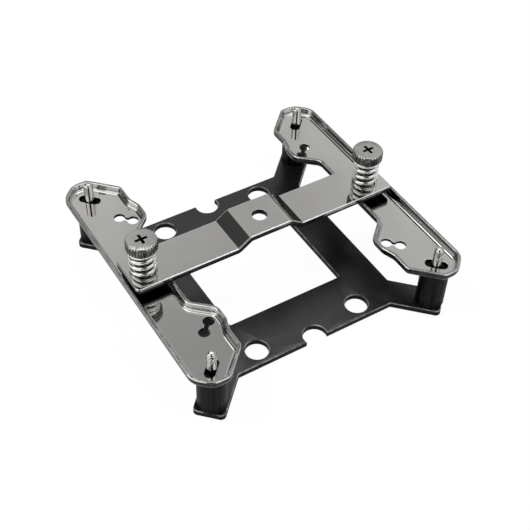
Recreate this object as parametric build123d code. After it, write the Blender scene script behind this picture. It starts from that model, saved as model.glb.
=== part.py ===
from build123d import *
import os
from math import cos, pi, radians, sin, sqrt

# CPU cooler mounting bracket: a flat steel backplate carries four studs, each with a
# tube spacer; two pressed rails sit on the spacers, and a cranked crossbar lies over
# the rails, held down by two sprung thumb screws.
# X runs along the crossbar, Y along the rails, Z up. The origin is on the underside of
# the backplate, in its middle. Sizes are in millimetres.

# Driving dimensions
STUD_PITCH = 75.0          # square stud pattern
PLATE_T = 1.8              # backplate sheet
SPACER_H = 14.0            # tube between backplate and rail
RAIL_T = 1.0               # rail sheet
LIP_H = 2.2                # rail lip above the rail's floor
BAR_T = 1.8                # crossbar sheet
BAR_RAISE = 2.8            # step up to the crossbar's middle panel
SCREW_X = 38.1             # thumb screws, from the middle

# Backplate
PLATE_X = 62.8
PLATE_Y = 66.0
ARM_W = 9.3
ARM_REACH = 57.0           # arm end, from the middle along the diagonal
ARM_CORNER_R = 1.5
ARM_ROOT_R = 0.8
WINDOW_X = 38.8
WINDOW_Y = 38.0
WINDOW_SHIFT = 2.8         # the window's middle lies nearer the rear edge
WINDOW_R = 0.6
PLATE_HOLE_X = 17.4
PLATE_HOLE_Y = 28.0
PLATE_HOLE_R = 3.5
NOTCH_Y = 31.9
NOTCH_R = 3.65
PLATE_EDGE = 0.25

# Studs, with a round clinch head flush in the plate's underside
STUD_R = 1.25
STUD_THREAD_R = 1.42       # crest of the thread on the free end
STUD_THREAD_Z = 16.9
STUD_TOP = 23.4
STUD_TIP = 0.9
CLINCH_R = 2.5
CLINCH_H = 1.0

# Spacers
SPACER_R = 4.25
SPACER_BORE_R = 1.7
FLUTES = 30
FLUTE_R = 0.22
FLUTE_H = 2.4

# Rails: outline of the +X, +Y quarter, with the radius at each corner
RAIL_IN = 32.2             # straight inner edge
BUMP_IN = 26.15            # inner edge of the bump at each end
WAIST_IN = 27.5            # inner edge beyond the bump
RAIL_OUT = 44.9
RAIL_END = 44.0
LIP_EDGE = 0.2
FLOOR_R = 1.1              # bend inside the lip
SLOT_CC = 3.7
SLOT_W = 3.1
LOBE_R = 1.7
LOBE_OUT = (33.2, 25.9)
LOBE_IN = (30.2, 23.0)
NECK_W = 1.3

# Clinch nuts in the rails
NUT_BODY_R = 2.15
NUT_FLANGE_R = 3.3
NUT_FLANGE_H = 3.0
NUT_BORE_R = 1.5
NUT_EDGE = 0.4

# Crossbar
BAR_L = 87.1
BAR_W = 13.7
CREASE_HIGH = 7.0
CREASE_LOW = 11.0
BEND_R = 0.5
BAR_CORNER_R = 1.3
BAR_HOLE_R = 2.3
BAR_EDGE = 0.2

# Thumb screws
HEAD_R = 4.6
HEAD_H = 3.4
HEAD_TOP = 32.5
HEAD_EDGE = 0.45
KNURLS = 32
KNURL_R = 0.3
SHANK_R = 2.0
THREAD_R = 1.45
THREAD_END = 12.0
THREAD_TIP = 0.4
GROOVE_R = 1.5
GROOVE_H = 0.6
CLIP_Z = 17.4              # underside of the clip
CLIP_T = 0.5
CLIP_R = 3.1
CLIP_BORE_R = 1.55
CLIP_MOUTH = 2.2
CROSS_L = 3.8              # cross recess, narrowing to CROSS_TIP across at its bottom
CROSS_W = 0.9
CROSS_TIP = 1.4
CROSS_DEPTH = 1.6

# Springs
WIRE_R = 0.6
COIL_R = 3.4               # middle of the wire
COIL_PITCH = 2.3
OPEN_TURNS = 2.9
END_TURNS = 0.6
END_PITCH = 0.8
COIL_START = 330.0         # where the wire starts, in degrees from +X
COIL_STEPS = 16            # points on the wire's path in one turn

# Heights that follow
RAIL_Z = PLATE_T + SPACER_H
FLOOR_Z = RAIL_Z + RAIL_T
LIP_TOP = FLOOR_Z + LIP_H
BAR_TOP = LIP_TOP + BAR_T
HEAD_Z = HEAD_TOP - HEAD_H
STUD_AT = STUD_PITCH / 2

CORNERS = {
    "front_left": (-1, -1),
    "front_right": (1, -1),
    "rear_left": (-1, 1),
    "rear_right": (1, 1),
}
SIDES = {"left": -1, "right": 1}


def rod(radius, low, high, x=0.0, y=0.0):
    """A round bar standing on the height low and ending at high."""
    return Pos(x, y, low) * Cylinder(radius, high - low, align=(Align.CENTER, Align.CENTER, Align.MIN))


def slab(face, low, height):
    """A flat face pulled up from the height low."""
    return extrude(Pos(0, 0, low) * face, height)


def edges_at(solid, z):
    """The edges that lie flat at one height."""
    return [e for e in solid.edges() if abs(e.bounding_box().min.Z - z) < 1e-4
            and abs(e.bounding_box().max.Z - z) < 1e-4]


def backplate():
    """Sheet ring with four diagonal arms, a window, round holes and edge notches."""
    sheet = Rectangle(PLATE_X, PLATE_Y)
    for turn in (45, -45):
        sheet += Rot(0, 0, turn) * RectangleRounded(2 * ARM_REACH, ARM_W, ARM_CORNER_R)
    sheet -= Pos(0, WINDOW_SHIFT) * RectangleRounded(WINDOW_X, WINDOW_Y, WINDOW_R)
    for sx, sy in CORNERS.values():
        sheet -= Pos(sx * PLATE_HOLE_X, sy * PLATE_HOLE_Y) * Circle(PLATE_HOLE_R)
    for sy in (-1, 1):
        sheet -= Pos(0, sy * NOTCH_Y) * Circle(NOTCH_R)
    half_arm = ARM_W / sqrt(2)
    roots = [v for v in sheet.vertices()
             if abs(abs(abs(v.X) - abs(v.Y)) - half_arm) < 0.01
             and (abs(abs(v.X) - PLATE_X / 2) < 0.01 or abs(abs(v.Y) - PLATE_Y / 2) < 0.01)]
    sheet = fillet(roots, ARM_ROOT_R)
    plate = slab(sheet, 0, PLATE_T)
    plate = chamfer(edges_at(plate, PLATE_T), PLATE_EDGE)
    for sx, sy in CORNERS.values():
        plate -= rod(STUD_R, 0, PLATE_T, sx * STUD_AT, sy * STUD_AT)
        plate -= rod(CLINCH_R, 0, CLINCH_H, sx * STUD_AT, sy * STUD_AT)
    return plate


def stud(sx, sy):
    """Clinch stud: round head in the plate's underside, plain shank, bevelled free end."""
    free_end = chamfer(edges_at(rod(STUD_THREAD_R, STUD_THREAD_Z, STUD_TOP), STUD_TOP), STUD_TIP)
    whole = rod(CLINCH_R, 0, CLINCH_H) + rod(STUD_R, 0, STUD_THREAD_Z) + free_end
    return Pos(sx * STUD_AT, sy * STUD_AT, 0) * whole


def spacer(sx, sy):
    """Tube spacer with a fluted foot."""
    tube = rod(SPACER_R, PLATE_T, RAIL_Z)
    for i in range(FLUTES):
        turn = 2 * pi * i / FLUTES
        tube -= rod(FLUTE_R, PLATE_T, PLATE_T + FLUTE_H, SPACER_R * cos(turn), SPACER_R * sin(turn))
    tube -= rod(SPACER_BORE_R, PLATE_T, RAIL_Z)
    return Pos(sx * STUD_AT, sy * STUD_AT, 0) * tube


def rail_outline(inset=0.0):
    """Outline of the +X rail, seen from above; inset draws the inside of its lip."""
    quarter = [
        (RAIL_IN, 15.6, 2.2),
        (BUMP_IN, 21.0, 3.6),
        (BUMP_IN, 26.0, 3.0),
        (WAIST_IN, 29.8, 3.0),
        (WAIST_IN, 36.1, 2.2),
        (35.4, RAIL_END, 2.4),
        (40.5, RAIL_END, 5.2),
        (RAIL_OUT, 39.6, 5.2),
    ]
    corners = quarter + [(x, -y, r) for x, y, r in reversed(quarter)]
    points = [(x, y) for x, y, r in corners]
    radii = [r for x, y, r in corners]
    face = make_face(FilletPolyline(*points, radius=radii, close=True))
    if inset:
        face = offset(face, amount=-inset, kind=Kind.INTERSECTION)
    return face


def rail(sx):
    """Pressed sheet rail: flat floor, upturned lip, end slots and pairs of joined holes."""
    pan = slab(rail_outline(), RAIL_Z, LIP_TOP - RAIL_Z)
    pan = fillet(edges_at(pan, RAIL_Z), FLOOR_R + RAIL_T)
    hollow = slab(rail_outline(RAIL_T), FLOOR_Z, LIP_H)
    hollow = fillet(edges_at(hollow, FLOOR_Z), FLOOR_R)
    pan -= hollow
    pan = chamfer(edges_at(pan, LIP_TOP), LIP_EDGE)
    middle = ((LOBE_OUT[0] + LOBE_IN[0]) / 2, (LOBE_OUT[1] + LOBE_IN[1]) / 2)
    span = sqrt((LOBE_OUT[0] - LOBE_IN[0]) ** 2 + (LOBE_OUT[1] - LOBE_IN[1]) ** 2)
    for sy in (-1, 1):
        cuts = Pos(STUD_AT, sy * STUD_AT) * SlotCenterToCenter(SLOT_CC, SLOT_W, rotation=45 * sy)
        for x, y in (LOBE_OUT, LOBE_IN):
            cuts += Pos(x, sy * y) * Circle(LOBE_R)
        cuts += Pos(middle[0], sy * middle[1]) * Rot(0, 0, 45 * sy) * Rectangle(span, NECK_W)
        pan -= slab(cuts, RAIL_Z, RAIL_T)
    pan -= rod(NUT_BODY_R, RAIL_Z, FLOOR_Z, SCREW_X)
    return pan if sx > 0 else mirror(pan, Plane.YZ)


def rail_nut(sx):
    """Clinch nut: its neck fills the hole in the rail and its flange is underneath."""
    nut = rod(NUT_FLANGE_R, RAIL_Z - NUT_FLANGE_H, RAIL_Z)
    nut = chamfer(edges_at(nut, RAIL_Z - NUT_FLANGE_H), NUT_EDGE)
    nut += rod(NUT_BODY_R, RAIL_Z, FLOOR_Z)
    nut -= rod(NUT_BORE_R, RAIL_Z - NUT_FLANGE_H, FLOOR_Z)
    return Pos(sx * SCREW_X, 0, 0) * nut


def crossbar():
    """Sheet bar with two bends each side, a middle hole and a hole at each screw."""
    end = BAR_L / 2
    high = BAR_TOP + BAR_RAISE
    slope = (CREASE_LOW - CREASE_HIGH, BAR_RAISE)
    lean = slope[1] / sqrt(slope[0] ** 2 + slope[1] ** 2)
    shift = BAR_T * (1 - sqrt(1 - lean ** 2)) / lean
    top = [(CREASE_LOW, BAR_TOP), (CREASE_HIGH, high)]
    under = [(CREASE_LOW - shift, BAR_TOP - BAR_T), (CREASE_HIGH - shift, high - BAR_T)]
    outline = [(-end, BAR_TOP - BAR_T), (-end, BAR_TOP)]
    outline += [(-x, z) for x, z in top] + list(reversed(top))
    outline += [(end, BAR_TOP), (end, BAR_TOP - BAR_T)]
    outline += under + [(-x, z) for x, z in reversed(under)]
    wide, tight = BEND_R + BAR_T, BEND_R
    radii = [0, 0, tight, wide, wide, tight, 0, 0, wide, tight, tight, wide]
    profile = make_face(FilletPolyline(*outline, radius=radii, close=True))
    bar = extrude(Rot(90, 0, 0) * profile, BAR_W / 2, both=True)
    corners = [e for e in bar.edges().filter_by(Axis.Z) if abs(abs(e.center().X) - end) < 1e-4]
    bar = fillet(corners, BAR_CORNER_R)
    rims = [e for e in bar.edges() if e.center().Z > LIP_TOP + 1e-4 and is_outer_top(e)]
    bar = chamfer(rims, BAR_EDGE)
    for x in (-SCREW_X, 0, SCREW_X):
        bar -= rod(BAR_HOLE_R, LIP_TOP - 1, high + 1, x)
    return bar


def is_outer_top(edge):
    """True for an edge of the crossbar's upper face that runs round its outside."""
    box = edge.bounding_box()
    along = box.min.Y == box.max.Y or abs(box.max.Y - box.min.Y) < 1e-4
    side = along and abs(abs(edge.center().Y) - BAR_W / 2) < 1e-4
    tip = abs(edge.center().X) > BAR_L / 2 - BAR_CORNER_R
    level = edge.center().Z >= BAR_TOP - 1e-4
    if abs(edge.center().X) > CREASE_LOW + BAR_T:
        return level and (side or tip)
    return side and edge.center().Z > upper_line(edge.center().X) - BAR_T / 3


def upper_line(x):
    """Height of the crossbar's upper face at a distance x from its middle."""
    x = abs(x)
    if x >= CREASE_LOW:
        return BAR_TOP
    if x <= CREASE_HIGH:
        return BAR_TOP + BAR_RAISE
    return BAR_TOP + BAR_RAISE * (CREASE_LOW - x) / (CREASE_LOW - CREASE_HIGH)


def cross_recess():
    """The cross-shaped space that a driver goes into, from the top of the head down."""
    cross = Rectangle(CROSS_L, CROSS_W) + Rectangle(CROSS_W, CROSS_L)
    low = HEAD_TOP - CROSS_DEPTH
    taper = Cone(CROSS_TIP / 2, CROSS_L / 2, CROSS_DEPTH, align=(Align.CENTER, Align.CENTER, Align.MIN))
    return slab(cross, low, CROSS_DEPTH) & (Pos(0, 0, low) * taper)


def thumb_screw(sx):
    """Knurled head with a cross recess, plain shank, clip groove and thread."""
    head = chamfer(rod(HEAD_R, HEAD_Z, HEAD_TOP).edges().filter_by(GeomType.CIRCLE), HEAD_EDGE)
    for i in range(KNURLS):
        turn = 2 * pi * i / KNURLS
        head -= rod(KNURL_R, HEAD_Z, HEAD_TOP, HEAD_R * cos(turn), HEAD_R * sin(turn))
    head -= cross_recess()
    shank = rod(SHANK_R, FLOOR_Z, HEAD_Z)
    shank -= rod(SHANK_R + 1, CLIP_Z - 0.05, CLIP_Z - 0.05 + GROOVE_H) - rod(
        GROOVE_R, CLIP_Z - 1, CLIP_Z + 2)
    thread = rod(THREAD_R, THREAD_END, FLOOR_Z)
    thread = chamfer(edges_at(thread, THREAD_END), THREAD_TIP)
    return Pos(sx * SCREW_X, 0, 0) * (head + shank + thread)


def clip(sx):
    """Snap ring open on one side, in the screw's groove under the crossbar."""
    ring = rod(CLIP_R, CLIP_Z, CLIP_Z + CLIP_T) - rod(CLIP_BORE_R, CLIP_Z, CLIP_Z + CLIP_T)
    mouth = Pos(0, CLIP_R / 2 + 0.5, CLIP_Z + CLIP_T / 2) * Box(CLIP_MOUTH, CLIP_R + 1, CLIP_T)
    return Pos(sx * SCREW_X, 0, 0) * (ring - mouth)


def spring_height(turns):
    """Height of the wire's middle after a number of turns: flat, rising, flat."""
    closed = END_TURNS * END_PITCH
    if turns < END_TURNS:
        return turns * END_PITCH
    if turns < END_TURNS + OPEN_TURNS:
        return closed + (turns - END_TURNS) * COIL_PITCH
    return closed + OPEN_TURNS * COIL_PITCH + (turns - END_TURNS - OPEN_TURNS) * END_PITCH


def spring(sx):
    """Compression spring with nearly flat end turns, ground where it bears."""
    turns = OPEN_TURNS + 2 * END_TURNS
    middle = (BAR_TOP + HEAD_Z) / 2
    low = middle - spring_height(turns) / 2
    steps = round(turns * COIL_STEPS)
    points = []
    for i in range(steps + 1):
        at = turns * i / steps
        angle = 2 * pi * at + radians(COIL_START)
        points.append((COIL_R * cos(angle), COIL_R * sin(angle), low + spring_height(at)))
    path = Spline(*points)
    wire = sweep(Plane(path @ 0, z_dir=path % 0) * Circle(WIRE_R), path, is_frenet=True)
    wire &= rod(COIL_R + 2 * WIRE_R, BAR_TOP, HEAD_Z)
    return Pos(sx * SCREW_X, 0, 0) * wire


def build():
    """Every piece of the bracket, by name."""
    pieces = {"backplate": backplate(), "crossbar": crossbar()}
    for name, (sx, sy) in CORNERS.items():
        pieces["stud_" + name] = stud(sx, sy)
        pieces["spacer_" + name] = spacer(sx, sy)
    for name, sx in SIDES.items():
        pieces["rail_" + name] = rail(sx)
        pieces["rail_nut_" + name] = rail_nut(sx)
        pieces["thumb_screw_" + name] = thumb_screw(sx)
        pieces["retaining_clip_" + name] = clip(sx)
        pieces["spring_" + name] = spring(sx)
    return pieces


os.makedirs("parts", exist_ok=True)
for node, solid in build().items():
    export_step(solid, "parts/" + node + ".step")
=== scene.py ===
from math import cos, pi, radians, sin, tau

import bmesh
import bpy
from mathutils import Matrix, Vector
from mathutils.bvhtree import BVHTree

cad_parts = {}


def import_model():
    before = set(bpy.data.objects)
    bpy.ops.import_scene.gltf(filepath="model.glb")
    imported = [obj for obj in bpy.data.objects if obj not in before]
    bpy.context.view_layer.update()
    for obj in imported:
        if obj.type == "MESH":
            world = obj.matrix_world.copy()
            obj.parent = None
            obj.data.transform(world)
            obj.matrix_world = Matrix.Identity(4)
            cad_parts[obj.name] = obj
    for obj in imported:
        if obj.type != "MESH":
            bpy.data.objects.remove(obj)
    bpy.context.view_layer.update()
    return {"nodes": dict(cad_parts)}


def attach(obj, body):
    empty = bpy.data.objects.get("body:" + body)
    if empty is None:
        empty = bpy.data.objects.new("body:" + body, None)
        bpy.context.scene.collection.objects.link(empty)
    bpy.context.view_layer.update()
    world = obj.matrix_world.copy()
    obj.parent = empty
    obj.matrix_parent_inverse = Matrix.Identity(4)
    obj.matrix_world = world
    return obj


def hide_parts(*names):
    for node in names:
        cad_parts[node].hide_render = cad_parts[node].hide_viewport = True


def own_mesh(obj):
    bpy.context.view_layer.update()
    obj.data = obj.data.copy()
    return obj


# Looks of the cooler mounting bracket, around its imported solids. Metres, +Z up, the origin
# under the middle of the backplate, +X along the crossbar.
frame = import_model()

MM = 0.001
NODES = frame["nodes"]
SIDES = {"left": -1, "right": 1}
CORNERS = {"front_left": (-1, -1), "front_right": (1, -1), "rear_left": (-1, 1), "rear_right": (1, 1)}

# The photograph's camera, found from the square of the four studs
CAMERA_AZIMUTH = radians(-33.41)
CAMERA_ELEVATION = radians(46.247)
CAMERA_DISTANCE = 315.117 * MM
CAMERA_ROLL = radians(2.348)
LOOK_AT = Vector((3.121, 0.705, 0)) * MM
PHOTO_SIZE = 530
FOCAL_PIXELS = 1012.65
SENSOR = 36.0

# Sizes repeated from the solids
STUD_AT = 37.5 * MM
SCREW_AT = 38.1 * MM
BAR_TOP = 20.8 * MM
BAR_RAISE = 2.8 * MM
BAR_LENGTH = 87.1 * MM
BAR_WIDTH = 13.7 * MM
CREASE_LOW = 11.0 * MM
CREASE_HIGH = 7.0 * MM
HEAD_UNDER = 29.1 * MM
HEAD_TOP = 32.5 * MM
RECESS_REACH = 2.2 * MM
LIP_TOP = 19.0 * MM

# Width of the rounding on the pressed sheet's edges, and how far its painted bright rim reaches down
EASE = 0.16 * MM
RIM = 0.35 * MM

# Wear and tool marks; below the burnished band the crossbar's cut edges are painted dark as a dark reflection
BURNISHED_DEPTH = 0.85 * MM
BURNISHED_FADE = 0.2 * MM
BURNISHED_WANDER = 0.7 * MM
TURNING_PITCH = 0.36 * MM

# Points of a solid nearer than this are one, and a face whose normal rises more than this is flat
DOUBLE = 1e-6
FLAT = 0.97
DOWN = Vector((0, 0, -1))


class Channel:
    """A shader socket that adds its maths nodes when Python operators are used on it."""

    def __init__(self, tree, socket=None):
        self.tree = tree
        self.socket = socket

    def node(self, kind, settings=None, **inputs):
        """Adds one node, its settings first, then a value or a link for each named input."""
        made = self.tree.nodes.new(kind)
        for key, value in (settings or {}).items():
            if key == "stops":
                set_stops(made.color_ramp, value)
            else:
                setattr(made, key, value)
        for key, value in inputs.items():
            target = made.inputs[int(key[1:])] if key[1:].isdigit() else made.inputs[key.replace("_", " ")]
            if isinstance(value, Channel):
                self.tree.links.new(value.socket, target)
            else:
                target.default_value = value
        return made

    def out(self, made, index=0):
        return Channel(self.tree, made.outputs[index])

    def maths(self, operation, left, right=0.0):
        return self.out(self.node("ShaderNodeMath", {"operation": operation}, _0=left, _1=right))

    def __add__(self, other):
        return self.maths("ADD", self, other)

    __radd__ = __add__

    def __sub__(self, other):
        return self.maths("SUBTRACT", self, other)

    def __rsub__(self, other):
        return self.maths("SUBTRACT", other, self)

    def __mul__(self, other):
        return self.maths("MULTIPLY", self, other)

    __rmul__ = __mul__

    def __truediv__(self, other):
        return self.maths("DIVIDE", self, other)

    def __abs__(self):
        return self.maths("ABSOLUTE", self)

    def root(self):
        return self.maths("SQRT", self)

    def wave(self):
        return self.maths("SINE", self)

    def held(self):
        """Kept between 0 and 1."""
        return self.maths("MINIMUM", self.maths("MAXIMUM", self, 0.0), 1.0)

    def larger(self, other):
        return self.maths("MAXIMUM", self, other)

    def smaller(self, other):
        return self.maths("MINIMUM", self, other)

    def mix(self, low, high):
        """low where this channel is 0 and high where it is 1, as colours."""
        made = self.node("ShaderNodeMix", {"data_type": "RGBA"}, _0=self, _6=low, _7=high)
        return self.out(made, 2)

    def ramp(self, *stops):
        return self.out(self.node("ShaderNodeValToRGB", {"stops": stops}, Fac=self))


def set_stops(ramp, stops):
    """Puts (place, value) stops on a colour ramp."""
    while len(ramp.elements) > 1:
        ramp.elements.remove(ramp.elements[-1])
    for i, (place, value) in enumerate(stops):
        stop = ramp.elements[0] if i == 0 else ramp.elements.new(place)
        stop.position = place
        stop.color = (value, value, value, 1)


def grey(red, green=None, blue=None):
    return (red, red if green is None else green, red if blue is None else blue, 1)


class Finish:
    """A material with one Principled shader, whose patterns start from the piece's own place."""

    def __init__(self, name, colour, metallic=0.0, roughness=0.5, specular=0.5, coat=0.0):
        self.material = bpy.data.materials.new(name)
        self.material.use_nodes = True
        tree = self.material.node_tree
        self.shader = tree.nodes["Principled BSDF"]
        self.start = Channel(tree)
        self.set("Base Color", colour)
        self.set("Metallic", metallic)
        self.set("Roughness", roughness)
        self.set("Specular IOR Level", specular)
        self.set("Coat Weight", coat)
        self.place = self.start.out(self.start.node("ShaderNodeTexCoord"), 3)

    def set(self, name, value):
        if isinstance(value, Channel):
            value.tree.links.new(value.socket, self.shader.inputs[name])
        else:
            self.shader.inputs[name].default_value = value

    def noise(self, scale, detail=2.0, stretch=None):
        """Soft noise from 0 to 1; stretch squeezes it along X, Y and Z."""
        place = self.place
        if stretch:
            place = self.start.out(self.start.node("ShaderNodeMapping", Vector=place, Scale=stretch))
        return self.start.out(self.start.node("ShaderNodeTexNoise", Vector=place, Scale=scale, Detail=detail))

    def bump(self, height, distance, strength=1.0):
        made = self.start.node("ShaderNodeBump", Strength=strength, Distance=distance, Height=height)
        self.set("Normal", self.start.out(made))

    def split(self):
        made = self.start.node("ShaderNodeSeparateXYZ", Vector=self.place)
        return [self.start.out(made, i) for i in range(3)]


def mirror_nickel():
    """The plated upper side of the rails and the crossbar: nearly a mirror."""
    made = Finish("mirror_nickel", grey(0.6), 1.0, 0.05)
    cloud = made.noise(90.0, 3.0).ramp((0.3, 0.0), (0.7, 1.0))
    made.set("Base Color", cloud.mix(grey(0.575, 0.567, 0.55), grey(0.62, 0.612, 0.595)))
    made.set("Roughness", made.noise(260.0, 2.0) * 0.05 + 0.03)
    made.bump(made.noise(45.0, 1.0), 0.0004, 0.03)
    return made.material


def painted_highlight_nickel():
    """The roundings of the pressed sheet's edges, painted brighter than the nickel as a highlight line."""
    made = Finish("painted_highlight_nickel", grey(0.8), 1.0, 0.1)
    mottle = made.noise(600.0, 3.0)
    # painted highlight: lighter than the nickel of the flats
    made.set("Base Color", mottle.ramp((0.3, 0.0), (0.6, 1.0)).mix(grey(0.68, 0.675, 0.66), grey(0.93, 0.925, 0.91)))
    made.set("Roughness", mottle * 0.07 + 0.04)
    return made.material


def painted_dim_rim_nickel():
    """The flat top of the rails' rim, painted darker than the rails' flats as a dimmer reflection."""
    made = Finish("painted_dim_rim_nickel", grey(0.35), 1.0, 0.2)
    mottle = made.noise(420.0, 3.0)
    # painted darker than the rails' flats: a painted dimmer reflection
    made.set("Base Color", mottle.ramp((0.35, 0.0), (0.65, 1.0)).mix(grey(0.24, 0.237, 0.23), grey(0.44, 0.435, 0.42)))
    made.set("Roughness", mottle * 0.2 + 0.08)
    return made.material


def painted_shade_nickel():
    """Punched edges, hole walls, the drawn outer walls and the undersides, painted nearly black: painted shade in
    the holes and underneath, and a painted dark reflection on the outer walls.
    """
    made = Finish("painted_shade_nickel", grey(0.05), 1.0, 0.3)
    streak = made.noise(900.0, 2.0, (1.0, 1.0, 0.12))
    # painted shade and painted dark reflection: nickel made nearly black
    made.set("Base Color", streak.ramp((0.35, 0.0), (0.7, 1.0)).mix(grey(0.012), grey(0.04, 0.0395, 0.038)))
    made.set("Roughness", streak * 0.25 + 0.2)
    return made.material


def cut_nickel():
    """The crossbar's cut edges: burnished by the punch near the top, broken below, and there painted nearly black as
    a dark reflection.
    """
    made = Finish("cut_nickel", grey(0.1), 1.0, 0.3)
    x, y, z = made.split()
    climb = ((CREASE_LOW - abs(x)) / (CREASE_LOW - CREASE_HIGH)).held()
    depth = climb * BAR_RAISE + (BAR_TOP - z)
    wander = (made.noise(420.0, 3.0) - 0.5) * BURNISHED_WANDER
    broken_painted_dark = ((depth + wander - BURNISHED_DEPTH) / BURNISHED_FADE).held()
    streak = made.noise(900.0, 2.0, (1.0, 1.0, 0.12))
    burnished = streak.mix(grey(0.2, 0.198, 0.19), grey(0.34, 0.337, 0.33))
    # below the burnished band, painted nearly black as a dark reflection
    made.set("Base Color", broken_painted_dark.mix(burnished, streak.mix(grey(0.01), grey(0.035))))
    made.set("Roughness", broken_painted_dark * 0.25 + streak * 0.1 + 0.08)
    return made.material


def black_satin():
    """The backplate's black coat, with a faint orange peel."""
    made = Finish("black_satin", grey(0.004), 0.0, 0.3, 0.66)
    made.set("Base Color", made.noise(150.0, 3.0).mix(grey(0.0035), grey(0.0065)))
    made.set("Roughness", made.noise(120.0, 3.0) * 0.14 + 0.22)
    made.bump(made.noise(1500.0, 2.0), 0.00005, 0.25)
    return made.material


def pale_bevel_satin():
    """The backplate's bevelled upper edge, lighter and metallic, which makes a bright line along it."""
    made = Finish("pale_bevel_satin", grey(0.2), 0.7, 0.3)
    patch = made.noise(350.0, 3.0)
    # lighter and more metallic than the coat: a bright line along the bevel
    made.set("Base Color", patch.ramp((0.35, 0.0), (0.65, 1.0)).mix(grey(0.05), grey(0.34, 0.335, 0.33)))
    return made.material


def punched_black():
    """The backplate's punched walls and underside: the same coat, but dull."""
    made = Finish("punched_black", grey(0.004), 0.0, 0.5, 0.08)
    line = made.noise(700.0, 2.0, (1.0, 1.0, 0.1))
    made.set("Base Color", line.mix(grey(0.002), grey(0.007)))
    made.set("Roughness", line * 0.2 + 0.4)
    return made.material


def moulded_black():
    """The spacers' plastic, with faint draw lines along the tube."""
    made = Finish("moulded_black", grey(0.004), 0.0, 0.42, 0.045)
    line = made.noise(1100.0, 2.0, (1.0, 1.0, 0.03))
    made.set("Base Color", line.ramp((0.4, 0.0), (0.6, 1.0)).mix(grey(0.001), grey(0.009)))
    made.set("Roughness", line * 0.2 + 0.34)
    made.bump(line, 0.00004, 0.5)
    return made.material


def painted_shade_knurl_nickel():
    """The thumb screws' grip and shank, rougher, and painted dark as shade in the cuts."""
    made = Finish("painted_shade_knurl_nickel", grey(0.12), 1.0, 0.25)
    streak = made.noise(1200.0, 2.0, (1.0, 1.0, 0.15))
    # painted shade: the knurl and shank far darker than the turned top
    made.set("Base Color", streak.ramp((0.35, 0.0), (0.65, 1.0)).mix(grey(0.05), grey(0.2, 0.198, 0.19)))
    made.set("Roughness", streak * 0.2 + 0.15)
    return made.material


def turned_nickel():
    """The top of the thumb screws, with fine turning rings."""
    made = Finish("turned_nickel", grey(0.4), 1.0, 0.16)
    x, y, z = made.split()
    x = abs(x) - SCREW_AT
    radius = (x * x + y * y).root()
    wander = made.noise(1400.0, 1.0) * 1.4
    ring = (radius * (tau / TURNING_PITCH) + wander).wave() * 0.5 + 0.5
    grain = made.noise(2600.0, 2.0)
    made.set("Base Color", (ring * 0.45 + grain * 0.55).mix(grey(0.4, 0.395, 0.382), grey(0.6, 0.592, 0.576)))
    made.set("Roughness", grain * 0.12 + 0.14)
    made.bump(ring * 0.6 + grain * 0.4, 0.00001, 0.2)
    return made.material


def bright_steel():
    """Studs: bright plated steel."""
    made = Finish("bright_steel", grey(0.66), 1.0, 0.14)
    speck = made.noise(1800.0, 2.0)
    made.set("Base Color", speck.mix(grey(0.56, 0.555, 0.54), grey(0.76, 0.755, 0.74)))
    made.set("Roughness", speck * 0.08 + 0.05)
    return made.material


def spring_wire():
    """The springs' drawn wire, polished along its length."""
    made = Finish("spring_wire", grey(0.8), 1.0, 0.1)
    speck = made.noise(1500.0, 2.0, (1.0, 1.0, 4.0))
    made.set("Base Color", speck.mix(grey(0.8, 0.8, 0.79), grey(0.94, 0.94, 0.93)))
    made.set("Roughness", speck * 0.04 + 0.03)
    return made.material


def plain_zinc():
    """Clinch nuts and snap rings."""
    made = Finish("plain_zinc", grey(0.5), 1.0, 0.35)
    cloud = made.noise(700.0, 3.0)
    made.set("Base Color", cloud.mix(grey(0.36, 0.36, 0.35), grey(0.55, 0.55, 0.53)))
    made.set("Roughness", cloud * 0.3 + 0.22)
    return made.material


def put(name, work, body, slot, *materials, replaces=None):
    """Makes a piece of a finished bmesh, and says what it rides on and stands for."""
    mesh = bpy.data.meshes.new(name)
    work.to_mesh(mesh)
    work.free()
    for material in materials:
        mesh.materials.append(material)
    made = bpy.data.objects.new(name, mesh)
    bpy.context.scene.collection.objects.link(made)
    even = made.modifiers.new("even", "WEIGHTED_NORMAL")
    even.keep_sharp = True
    even.weight = 100
    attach(made, body)
    if replaces:
        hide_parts(replaces)
    return made


def merged(node, angle=30.0):
    """The node's own shape as a bmesh, its doubles merged and its curved faces smooth."""
    work = bmesh.new()
    work.from_mesh(NODES[node].data)
    bmesh.ops.remove_doubles(work, verts=work.verts, dist=DOUBLE)
    soften(work, angle)
    for face in work.faces:
        face.material_index = 0
    return work


def eased(work, width, angle=35.0):
    """Rounds every hard edge a little, after the flat faces are made whole."""
    bmesh.ops.dissolve_limit(work, angle_limit=radians(0.5), verts=work.verts, edges=work.edges)
    hard = [edge for edge in work.edges if len(edge.link_faces) == 2 and edge.calc_face_angle() > radians(angle)]
    bmesh.ops.bevel(work, geom=hard, affect="EDGES", offset=width, segments=2, profile=0.5, material=-1,
                    clamp_overlap=True)
    soften(work, angle)
    return work


def soften(work, angle=30.0):
    """Smooth shading, with a hard line wherever the surface turns by more than the angle."""
    for face in work.faces:
        face.smooth = True
    for edge in work.edges:
        edge.smooth = len(edge.link_faces) == 2 and edge.calc_face_angle(pi) < radians(angle)


def backplate(satin, pale_bevel, punched):
    """The backplate: its coat, lighter and metallic on the bevelled edge and dull on the walls and the underside."""
    work = merged("backplate", 50.0)
    for face in work.faces:
        if face.normal.z < 0.5:
            face.material_index = 2
        elif face.normal.z < 0.9:
            # the bevelled upper edge: a lighter, metallic colour
            face.material_index = 1
    return put("backplate_coated", work, "frame", "black_steel", satin, pale_bevel, punched, replaces="backplate")


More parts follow.
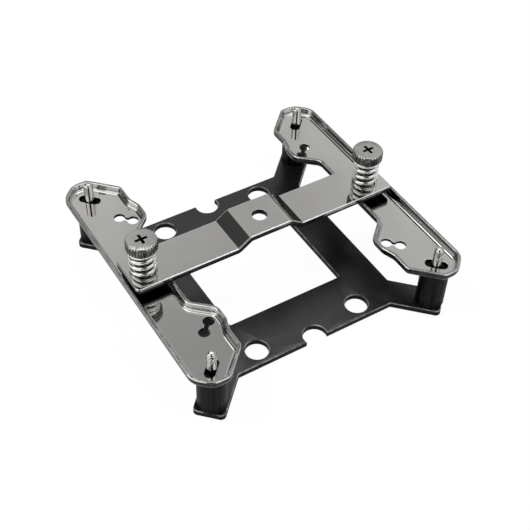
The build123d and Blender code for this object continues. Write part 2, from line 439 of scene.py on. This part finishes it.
def rail(side, nickel, edge, rim_highlight, rim_top):
    """The rail: hole walls, outer walls and underside dull and painted nearly black as shade and dark reflection,
    and a rim with painted bright roundings and a painted darker flat top.
    """
    name = "rail_" + side
    work = eased(merged(name), EASE)
    tree = BVHTree.FromBMesh(work)
    for face in work.faces:
        middle = face.calc_center_median()
        if face.normal.z < 0.5:
            # none of the rail's floor lies below a point just outside its outer walls
            beside = middle + face.normal * 0.3 * MM
            if tree.ray_cast(beside, DOWN, 4 * MM)[0] is None:
                # painted shade and dark reflection: nearly black nickel on outer walls, hole walls and underside
                face.material_index = 1
        elif middle.z > LIP_TOP - RIM:
            # painted highlight on the rim's roundings, a painted darker flat top
            face.material_index = 3 if face.normal.z > FLAT else 2
    return put(name + "_plated", work, "frame", "bright_nickel", nickel, edge, rim_highlight, rim_top, replaces=name)


def crossbar(nickel, cut, rim_highlight, edge):
    """The crossbar: cut outer edges, burnished at the top and painted nearly black as a dark reflection below, a
    painted highlight line on the roundings above them, and hole walls and underside painted nearly black as shade.
    """
    work = eased(merged("crossbar"), EASE)
    for face in work.faces:
        middle = face.calc_center_median()
        inside = abs(middle.y) < BAR_WIDTH / 2 - MM and abs(middle.x) < BAR_LENGTH / 2 - MM
        if face.normal.z < 0.35:
            # hole walls and underside painted nearly black as shade; cut outer edges painted dark below their
            # burnished band
            face.material_index = 3 if inside else 1
        elif abs(face.normal.y) > 0.2 and not inside:
            # painted highlight on the roundings along the long edges
            face.material_index = 2
    return put("crossbar_plated", work, "crossbar", "bright_nickel", nickel, cut, rim_highlight, edge, replaces="crossbar")


# Studs, in millimetres: radius and height of each point of the half outline, then the thread
STUD_OUTLINE = ((0, 0), (2.5, 0), (2.5, 1.0), (1.25, 1.0), (1.25, 16.9), (1.37, 17.1), (1.37, 22.6), (1.15, 23.0),
                (0.8, 23.28), (0.4, 23.4), (0, 23.4))
THREAD_LOW = 16.95
THREAD_HIGH = 22.45
THREAD_PITCH = 0.5
THREAD_RIDGE = ((1.3, 0.0), (1.42, 0.1), (1.42, 0.36), (1.3, 0.46))
THREAD_STEPS = 40


def spun_outline(work, outline, steps=48):
    """Turns a half outline round the Z axis into a closed shape."""
    points = [work.verts.new((r * MM, 0, z * MM)) for r, z in outline]
    lines = [work.edges.new(pair) for pair in zip(points, points[1:])]
    bmesh.ops.spin(work, geom=points + lines, cent=(0, 0, 0), axis=(0, 0, 1), angle=tau, steps=steps, use_merge=True)
    bmesh.ops.remove_doubles(work, verts=work.verts, dist=1e-7)


def thread(work, low, high):
    """A helical ridge wound round the Z axis, closed at both ends."""
    turns = (high - low) / THREAD_PITCH
    steps = round(turns * THREAD_STEPS)
    points = [work.verts.new((r * MM, 0, (low + z) * MM)) for r, z in THREAD_RIDGE]
    lines = [work.edges.new((a, b)) for a, b in zip(points, points[1:] + points[:1])]
    rise = (0, 0, (high - low) * MM / steps)
    bmesh.ops.spin(work, geom=points + lines, cent=(0, 0, 0), axis=(0, 0, 1), dvec=rise, angle=tau * turns,
                   steps=steps)
    open_ends = [edge for edge in work.edges if edge.is_boundary]
    bmesh.ops.holes_fill(work, edges=open_ends, sides=4)


def stud(corner, steel):
    """A stud turned from its outline, with a wound thread on the free end."""
    name = "stud_" + corner
    sx, sy = CORNERS[corner]
    work = bmesh.new()
    spun_outline(work, STUD_OUTLINE)
    thread(work, THREAD_LOW, THREAD_HIGH)
    bmesh.ops.recalc_face_normals(work, faces=work.faces)
    bmesh.ops.translate(work, verts=work.verts, vec=(sx * STUD_AT, sy * STUD_AT, 0))
    soften(work)
    return put(name + "_threaded", work, "frame", "stud_steel", steel, replaces=name)


def thumb_screw(side, top, grip_shade, recess_shade):
    """Turned top; the grip and the shank are painted dark as shade in the knurl's cuts, and the cross recess is
    painted nearly black as shade.
    """
    name = "thumb_screw_" + side
    work = merged(name, 50.0)
    for face in work.faces:
        middle = face.calc_center_median()
        from_axis = Vector((middle.x - SIDES[side] * SCREW_AT, middle.y)).length
        if from_axis < RECESS_REACH and HEAD_UNDER < middle.z < HEAD_TOP - 0.02 * MM:
            # painted shade: the cross recess nearly black
            face.material_index = 2
        elif face.normal.z < 0.3:
            # painted shade: grip and shank in the dark knurl nickel
            face.material_index = 1
    return put(name + "_turned", work, "screw_" + side, "screw_nickel", top, grip_shade, recess_shade, replaces=name)


def plain(node, body, slot, material, angle=30.0):
    """A piece with one finish all over."""
    return put(node + "_finished", merged(node, angle), body, slot, material, replaces=node)


def dress():
    """Puts every piece in place of its solid, and gives each spring a mesh of its own."""
    nickel = mirror_nickel()
    # nickel painted nearly black, as shade and dark reflection
    edge = painted_shade_nickel()
    steel = bright_steel()
    plastic = moulded_black()
    turned = turned_nickel()
    # nickel painted dark as shade in the knurl
    knurl_shade = painted_shade_knurl_nickel()
    wire = spring_wire()
    zinc = plain_zinc()
    # painted highlight on the rims' roundings, then their painted darker flat top
    rim_highlight = painted_highlight_nickel()
    rim_top = painted_dim_rim_nickel()
    backplate(black_satin(), pale_bevel_satin(), punched_black())
    crossbar(nickel, cut_nickel(), rim_highlight, edge)
    for corner in CORNERS:
        stud(corner, steel)
        plain("spacer_" + corner, "frame", "black_plastic", plastic)
    for side, sx in SIDES.items():
        rail(side, nickel, edge, rim_highlight, rim_top)
        plain("rail_nut_" + side, "frame", "nut_steel", zinc)
        thumb_screw(side, turned, knurl_shade, edge)
        plain("retaining_clip_" + side, "clip_" + side, "clip_steel", zinc)
        spring = plain("spring_" + side, "crossbar", "spring_steel", wire, 60.0)
        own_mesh(spring)


def camera():
    """The photograph's camera."""
    back = Vector((sin(CAMERA_AZIMUTH) * cos(CAMERA_ELEVATION), -cos(CAMERA_AZIMUTH) * cos(CAMERA_ELEVATION),
                   sin(CAMERA_ELEVATION)))
    lens = bpy.data.cameras.new("photograph")
    lens.sensor_width = SENSOR
    lens.lens = FOCAL_PIXELS / PHOTO_SIZE * SENSOR
    lens.clip_start = 0.01
    lens.clip_end = 20
    made = bpy.data.objects.new("photograph", lens)
    bpy.context.scene.collection.objects.link(made)
    right = (-back).cross(Vector((0, 0, 1))).normalized()
    up = right.cross(-back)
    rolled_right = cos(CAMERA_ROLL) * right + sin(CAMERA_ROLL) * up
    rolled_up = -sin(CAMERA_ROLL) * right + cos(CAMERA_ROLL) * up
    turn = Matrix((rolled_right, rolled_up, back)).transposed()
    made.matrix_world = Matrix.Translation(LOOK_AT + back * CAMERA_DISTANCE) @ turn.to_4x4()
    bpy.context.scene.camera = made


# Lamps: place, then size and power
LAMPS = {
    "key": ((-0.5, 0.3, 0.9), 0.6, 6.0),
    "fill": ((0.5, -0.5, 0.7), 0.6, 3.0),
}


def lamp(name, place, size, power):
    """A soft round lamp, aimed at the object and not mirrored by it."""
    light = bpy.data.lights.new(name, "AREA")
    light.shape = "DISK"
    light.size = size
    light.energy = power
    made = bpy.data.objects.new(name, light)
    bpy.context.scene.collection.objects.link(made)
    made.location = place
    made.rotation_mode = "QUATERNION"
    made.rotation_quaternion = (-Vector(place)).to_track_quat("-Z", "Y")
    made.visible_glossy = False


def seen_or_mirrored(start):
    """1 for what the camera, metal or glass sees, 0 for what only lights the object."""
    path = start.node("ShaderNodeLightPath")
    return start.out(path, 0).larger(start.out(path, 3)).larger(start.out(path, 6))


def world():
    """Soft light from all round, and plain white where it is seen or mirrored."""
    made = bpy.data.worlds.new("studio")
    bpy.context.scene.world = made
    made.use_nodes = True
    made.node_tree.nodes.clear()
    start = Channel(made.node_tree)
    colour = seen_or_mirrored(start).mix(grey(0.8), grey(1.0))
    background = start.node("ShaderNodeBackground", Color=colour, Strength=1.0)
    start.node("ShaderNodeOutputWorld", Surface=start.out(background))


def stage_piece(name, work):
    """Makes a piece of the stage, and a channel into its empty material."""
    mesh = bpy.data.meshes.new(name)
    work.to_mesh(mesh)
    work.free()
    made = bpy.data.objects.new(name, mesh)
    bpy.context.scene.collection.objects.link(made)
    material = bpy.data.materials.new(name)
    material.use_nodes = True
    material.node_tree.nodes.clear()
    mesh.materials.append(material)
    return made, Channel(material.node_tree)


FLOOR_RADIUS = 3.0
FLOOR_GAP = 0.0001
FLOOR_WHITENESS = 0.95


def floor():
    """White paper that keeps the object's shadow, and is clear from below."""
    work = bmesh.new()
    bmesh.ops.create_circle(work, cap_ends=True, segments=96, radius=FLOOR_RADIUS)
    made, start = stage_piece("floor", work)
    paper = start.out(start.node("ShaderNodeBsdfDiffuse", Color=grey(0.9)))
    white = start.out(start.node("ShaderNodeEmission", Color=grey(1.0), Strength=1.0))
    both = start.node("ShaderNodeMixShader", _0=seen_or_mirrored(start) * FLOOR_WHITENESS, _1=paper, _2=white)
    below = start.out(start.node("ShaderNodeNewGeometry"), 6)
    clear = start.out(start.node("ShaderNodeBsdfTransparent"))
    one_sided = start.node("ShaderNodeMixShader", _0=below, _1=start.out(both), _2=clear)
    start.node("ShaderNodeOutputMaterial", Surface=start.out(one_sided))
    made.location.z = -FLOOR_GAP


# Studio cards that only the metal mirrors: azimuth and elevation of the middle, width and height, all in
# degrees as seen from the object, then the grey
CARD_DISTANCE = 1.0
CARD_FADE = 0.12
CARDS = {
    "behind_camera": (-122, 40, 44, 78, 0.012),
    "rear_left": (120, 29, 42, 54, 0.065),
    "rear_low": (38, 5, 40, 23, 0.045),
    "left_softbox": (167, 27, 36, 48, 1.35),
    "near_left_softbox": (201, 38, 30, 52, 1.1),
    "upper_left_softbox": (170, 62, 44, 22, 1.2),
    "right_softbox": (-66, 46, 40, 46, 1.15),
    "top_strip": (57, 67, 46, 16, 3.4),
}


def card(name, azimuth, elevation, width, height, shade):
    """A flat card with soft edges, turned to the object."""
    work = bmesh.new()
    bmesh.ops.create_grid(work, x_segments=1, y_segments=1, size=0.5)
    made, start = stage_piece(name, work)
    turned, raised = radians(azimuth), radians(elevation)
    towards = Vector((cos(turned) * cos(raised), sin(turned) * cos(raised), sin(raised)))
    made.location = towards * CARD_DISTANCE
    made.rotation_mode = "QUATERNION"
    made.rotation_quaternion = towards.to_track_quat("Z", "Y")
    made.scale = (2 * CARD_DISTANCE * sin(radians(width) / 2), 2 * CARD_DISTANCE * sin(radians(height) / 2), 1)
    place = start.out(start.node("ShaderNodeTexCoord"), 3)
    parts = start.node("ShaderNodeSeparateXYZ", Vector=place)
    across = ((0.5 - abs(start.out(parts, 0))) / CARD_FADE).held()
    along = ((0.5 - abs(start.out(parts, 1))) / CARD_FADE).held()
    clear = start.out(start.node("ShaderNodeBsdfTransparent"))
    tone = start.out(start.node("ShaderNodeEmission", Color=grey(shade), Strength=1.0))
    both = start.node("ShaderNodeMixShader", _0=across * along, _1=clear, _2=tone)
    start.node("ShaderNodeOutputMaterial", Surface=start.out(both))
    only_mirrored(made)


# Overhead cloth: its grey at each share of its radius, and the way across which it brightens to both sides
CLOTH_RADIUS = 1.5
CLOTH_HEIGHT = 1.05
CLOTH_ACROSS = (-0.84, 0.54)
CLOTH_BRIGHTENING = 2.15
CLOTH_BRIGHTEST = 0.07
CLOTH_SHADES = ((0.0, 0.36), (0.54, 0.4), (0.58, 0.43), (0.66, 0.52), (0.71, 0.54), (0.76, 0.55), (0.83, 0.61),
                (0.87, 0.66))


def cloth():
    """A round cloth over the object, brighter towards its rim and to two sides."""
    work = bmesh.new()
    bmesh.ops.create_circle(work, cap_ends=True, segments=96, radius=CLOTH_RADIUS)
    made, start = stage_piece("overhead_cloth", work)
    made.location.z = CLOTH_HEIGHT
    place = start.out(start.node("ShaderNodeTexCoord"), 3)
    parts = start.node("ShaderNodeSeparateXYZ", Vector=place)
    x, y = start.out(parts, 0), start.out(parts, 1)
    shade = ((x * x + y * y).root() / CLOTH_RADIUS).ramp(*CLOTH_SHADES)
    aside = x * CLOTH_ACROSS[0] + y * CLOTH_ACROSS[1]
    shade = shade + (aside * aside).smaller(CLOTH_BRIGHTEST) * CLOTH_BRIGHTENING
    tone = start.node("ShaderNodeEmission", Color=shade, Strength=1.0)
    start.node("ShaderNodeOutputMaterial", Surface=start.out(tone))
    only_mirrored(made)


WALL_RADIUS = 2.0
WALL_HEIGHT = 1.5
WALL_SHADE = 0.4
WALL_FADE = 0.1


def studio_wall():
    """The grey wall round the studio, fading out at its upper edge."""
    work = bmesh.new()
    bmesh.ops.create_cone(work, cap_ends=False, segments=96, radius1=WALL_RADIUS, radius2=WALL_RADIUS,
                          depth=WALL_HEIGHT)
    made, start = stage_piece("studio_wall", work)
    made.location.z = WALL_HEIGHT / 2
    place = start.out(start.node("ShaderNodeTexCoord"), 3)
    height = start.out(start.node("ShaderNodeSeparateXYZ", Vector=place), 2)
    cover = ((WALL_HEIGHT / 2 - height) / (WALL_FADE * WALL_HEIGHT)).held()
    clear = start.out(start.node("ShaderNodeBsdfTransparent"))
    tone = start.out(start.node("ShaderNodeEmission", Color=grey(WALL_SHADE), Strength=1.0))
    both = start.node("ShaderNodeMixShader", _0=cover, _1=clear, _2=tone)
    start.node("ShaderNodeOutputMaterial", Surface=start.out(both))
    only_mirrored(made)


def only_mirrored(made):
    """Leaves a stage piece for the metal to mirror, and for nothing else."""
    made.visible_camera = False
    made.visible_diffuse = False
    made.visible_transmission = False
    made.visible_shadow = False


camera()
world()
floor()
cloth()
studio_wall()
for name, settings in CARDS.items():
    card(name, *settings)
for name, settings in LAMPS.items():
    lamp(name, *settings)
dress()
bpy.context.scene.view_settings.view_transform = "Standard"
